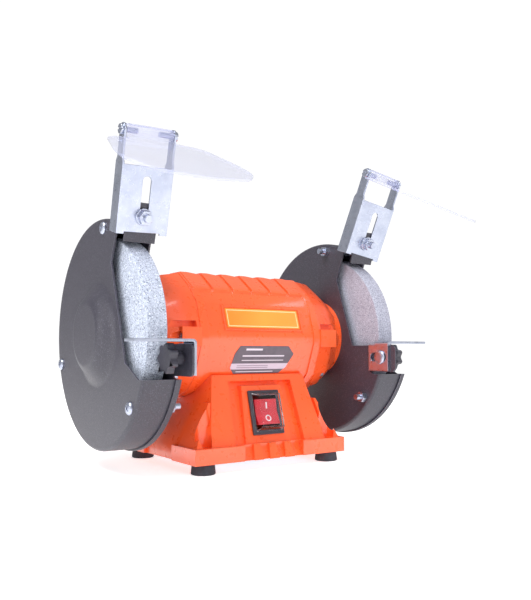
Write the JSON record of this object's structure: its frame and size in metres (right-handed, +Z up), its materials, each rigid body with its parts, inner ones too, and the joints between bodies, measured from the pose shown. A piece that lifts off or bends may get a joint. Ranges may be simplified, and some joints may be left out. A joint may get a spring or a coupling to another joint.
{
  "type": "bench grinder",
  "caption": "Double-ended bench grinder: motor on a pedestal, guarded grinding wheels, sliding tool rests, tilting eye shields, rocker switch and rubber feet.",
  "frame": {"origin": "on the bench, at the centre of the four feet, below the spindle", "axes": "+X along the spindle, -Y towards the operator, +Z up"},
  "size_m": [0.3192, 0.2402, 0.255],
  "materials": {
    "housing_paint": "glossy",
    "guard_coat": "fine powder coat",
    "zinc": "bright zinc plate",
    "steel": "turned",
    "abrasive_coarse": "coarse grain",
    "abrasive_fine": "fine grain",
    "blotter": "matt",
    "rubber": "matt",
    "black_plastic": "satin",
    "rocker_red": "glossy",
    "clear_cover": "clear",
    "clear_shield": "clear",
    "label_orange": "satin film",
    "label_dark": "satin film",
    "laminations": "stacked sheet",
    "copper": "enamelled wire",
    "capacitor_case": "glossy",
    "cage_brass": "satin"
  },
  "bodies": {
    "frame": {"motor_housing": "housing_paint", "left_end_bell": "housing_paint", "right_end_bell": "housing_paint", "end_bell_screws": "zinc", "pedestal": "housing_paint", "pedestal_screws": "zinc", "base_plate": "zinc", "base_plate_screws": "zinc", "foot_front_left": "rubber", "foot_front_right": "rubber", "foot_rear_left": "rubber", "foot_rear_right": "rubber", "stator_core": "laminations", "stator_windings": "copper", "bearing_outer_rings": "steel", "wave_washer": "steel", "capacitor": "capacitor_case", "switch_frame": "black_plastic", "switch_cover": "clear_cover", "front_label": "label_orange", "rating_plate": "label_dark", "cable_gland": "black_plastic", "left_guard_pan": "guard_coat", "left_guard_lid": "guard_coat", "left_guard_screws": "zinc", "left_mount_screws": "zinc", "left_rest_bolt": "zinc", "right_guard_pan": "guard_coat", "right_guard_lid": "guard_coat", "right_guard_screws": "zinc", "right_mount_screws": "zinc", "right_rest_bolt": "zinc"},
    "rotor": {"shaft": "steel", "rotor_core": "laminations", "bearing_inner_rings": "steel", "left_wheel": "abrasive_coarse", "left_blotters": "blotter", "left_inner_flange": "steel", "left_outer_flange": "steel", "left_spindle_nut": "zinc", "right_wheel": "abrasive_fine", "right_blotters": "blotter", "right_inner_flange": "steel", "right_outer_flange": "steel", "right_spindle_nut": "zinc"},
    "ball_cages": {"left_ball_cage": "cage_brass", "right_ball_cage": "cage_brass"},
    "rocker": {"switch_rocker": "rocker_red"},
    "left_rest": {"left_tool_rest": "zinc"},
    "left_knob": {"left_rest_knob": "black_plastic"},
    "left_clamp": {"left_bracket_bolt": "zinc"},
    "left_bracket": {"left_shield_bracket": "zinc", "left_shield_screws": "zinc"},
    "left_shield": {"left_eye_shield": "clear_shield"},
    "right_rest": {"right_tool_rest": "zinc"},
    "right_knob": {"right_rest_knob": "black_plastic"},
    "right_clamp": {"right_bracket_bolt": "zinc"},
    "right_bracket": {"right_shield_bracket": "zinc", "right_shield_screws": "zinc"},
    "right_shield": {"right_eye_shield": "clear_shield"}
  },
  "joints": [
    {"name": "spindle_spin", "type": "hinge", "parent": "frame", "child": "rotor", "pos_m": [0, 0, 0.1056], "axis": [1, 0, 0], "continuous": true},
    {"name": "cages_spin", "type": "hinge", "parent": "frame", "child": "ball_cages", "pos_m": [0, 0, 0.1056], "axis": [1, 0, 0], "continuous": true},
    {"name": "rocker_tilt", "type": "hinge", "parent": "frame", "child": "rocker", "pos_m": [0, -0.04507, 0.04248], "axis": [1, 0, 0], "range_deg": [-8, 8]},
    {"name": "left_rest_slide", "type": "slide", "parent": "frame", "child": "left_rest", "axis": [0, 1, 0], "range_m": [-0.0012, 0.0088]},
    {"name": "left_knob_turn", "type": "hinge", "parent": "frame", "child": "left_knob", "pos_m": [-0.095, -0.0852, 0.088], "axis": [-1, 0, 0], "range_deg": [0, 720]},
    {"name": "left_bracket_swivel", "type": "hinge", "parent": "frame", "child": "left_clamp", "pos_m": [-0.1098, -0.05004, 0.19049], "axis": [0, 0.9511, 0.309], "range_deg": [-6, 10]},
    {"name": "left_bracket_slide", "type": "slide", "parent": "left_clamp", "child": "left_bracket", "axis": [-0.0349, -0.3088, 0.9505], "range_m": [-0.006, 0.0018]},
    {"name": "left_shield_tilt", "type": "hinge", "parent": "left_bracket", "child": "left_shield", "pos_m": [-0.11186, -0.06351, 0.24812], "axis": [0.9994, -0.0108, 0.0332], "range_deg": [-110, 25]},
    {"name": "right_rest_slide", "type": "slide", "parent": "frame", "child": "right_rest", "axis": [0, 1, 0], "range_m": [-0.0074, 0.0028]},
    {"name": "right_knob_turn", "type": "hinge", "parent": "frame", "child": "right_knob", "pos_m": [0.095, -0.0852, 0.088], "axis": [1, 0, 0], "range_deg": [0, 720]},
    {"name": "right_bracket_swivel", "type": "hinge", "parent": "frame", "child": "right_clamp", "pos_m": [0.1098, -0.05004, 0.19049], "axis": [0, 0.9511, 0.309], "range_deg": [-16, 0]},
    {"name": "right_bracket_slide", "type": "slide", "parent": "right_clamp", "child": "right_bracket", "axis": [0.1392, -0.306, 0.9418], "range_m": [-0.006, 0.0018]},
    {"name": "right_shield_tilt", "type": "hinge", "parent": "right_bracket", "child": "right_shield", "pos_m": [0.11801, -0.06334, 0.2476], "axis": [0.9903, 0.043, -0.1324], "range_deg": [-110, 25]}
  ],
  "couplings": [
    {"joint": "cages_spin", "follows": "spindle_spin", "ratio": 0.381}
  ]
}
